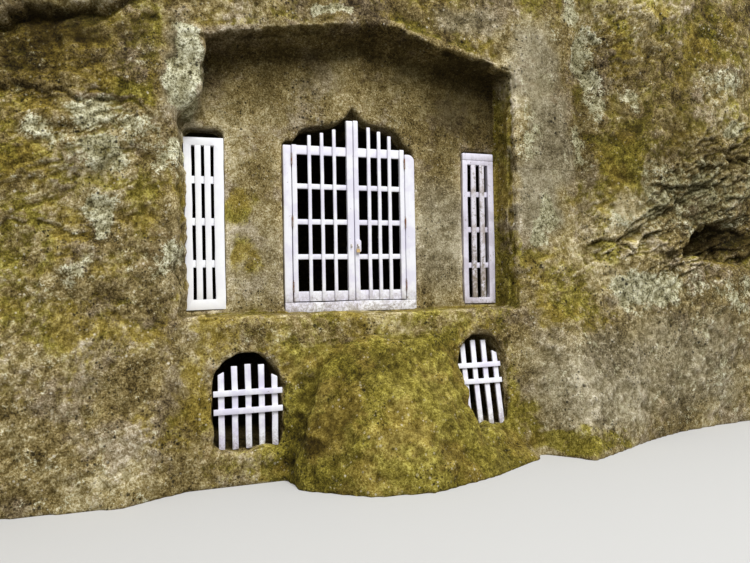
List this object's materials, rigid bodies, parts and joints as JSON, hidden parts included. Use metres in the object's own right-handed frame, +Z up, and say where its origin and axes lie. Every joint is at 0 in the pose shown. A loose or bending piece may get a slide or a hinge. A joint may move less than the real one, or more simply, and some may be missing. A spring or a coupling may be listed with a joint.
{
  "type": "cave chapel",
  "caption": "Ruined chapel cut into a rock cliff: gabled recess, hollow chamber, ogee doorway with a barred timber gate, slit windows and low grilled cells.",
  "frame": {"origin": "bottom centre of the whole rock, straight below the middle of the gate's width", "axes": "+X to the right along the carved front, +Y into the cliff, +Z up; the front faces -Y"},
  "size_m": [9.6, 5.4, 5.1],
  "materials": {
    "rock_face": "matte",
    "mossy_rock": "matte",
    "chamber_rock": "matte",
    "white_timber": "satin",
    "grey_timber": "matte",
    "rusty_iron": "matte",
    "old_steel": "satin",
    "lock_brass": "satin"
  },
  "bodies": {
    "chapel": {"cliff_left": "rock_face", "cliff_right": "rock_face", "crown_rock": "rock_face", "back_rock": "rock_face", "wall_left": "rock_face", "wall_right": "rock_face", "wall_head": "rock_face", "base_left": "mossy_rock", "base_centre": "mossy_rock", "base_right": "mossy_rock", "mound": "mossy_rock", "vault_rock": "chamber_rock", "gate_jamb_left": "white_timber", "gate_jamb_right": "white_timber", "gate_threshold": "white_timber", "slit_left_frame": "white_timber", "slit_left_bars": "white_timber", "slit_left_rails": "white_timber", "low_grille_left_pickets": "white_timber", "low_grille_left_rails": "white_timber", "low_grille_right_pickets": "white_timber", "low_grille_right_rails": "white_timber", "slit_right_frame": "grey_timber", "slit_right_bars": "grey_timber", "slit_right_rails": "grey_timber", "slit_right_cap": "grey_timber", "left_fixed_hinges": "rusty_iron", "right_fixed_hinges": "rusty_iron"},
    "left_leaf": {"left_leaf_hinge_stile": "white_timber", "left_leaf_meeting_stile": "white_timber", "left_leaf_rails": "white_timber", "left_leaf_bars": "white_timber", "left_leaf_hinges": "rusty_iron", "staple_left": "old_steel"},
    "right_leaf": {"right_leaf_hinge_stile": "white_timber", "right_leaf_meeting_stile": "white_timber", "right_leaf_rails": "white_timber", "right_leaf_bars": "white_timber", "right_leaf_hinges": "rusty_iron", "lock_board": "white_timber", "staple_right": "old_steel", "padlock_shackle": "old_steel", "padlock_body": "lock_brass"}
  },
  "joints": [
    {"name": "left_leaf_hinge", "type": "hinge", "parent": "chapel", "child": "left_leaf", "pos_m": [-0.541, -1.519, 2], "axis": [0, 0, -1], "range_deg": [0, 150]},
    {"name": "right_leaf_hinge", "type": "hinge", "parent": "chapel", "child": "right_leaf", "pos_m": [0.516, -1.519, 2], "axis": [0, 0, 1], "range_deg": [0, 150]}
  ]
}
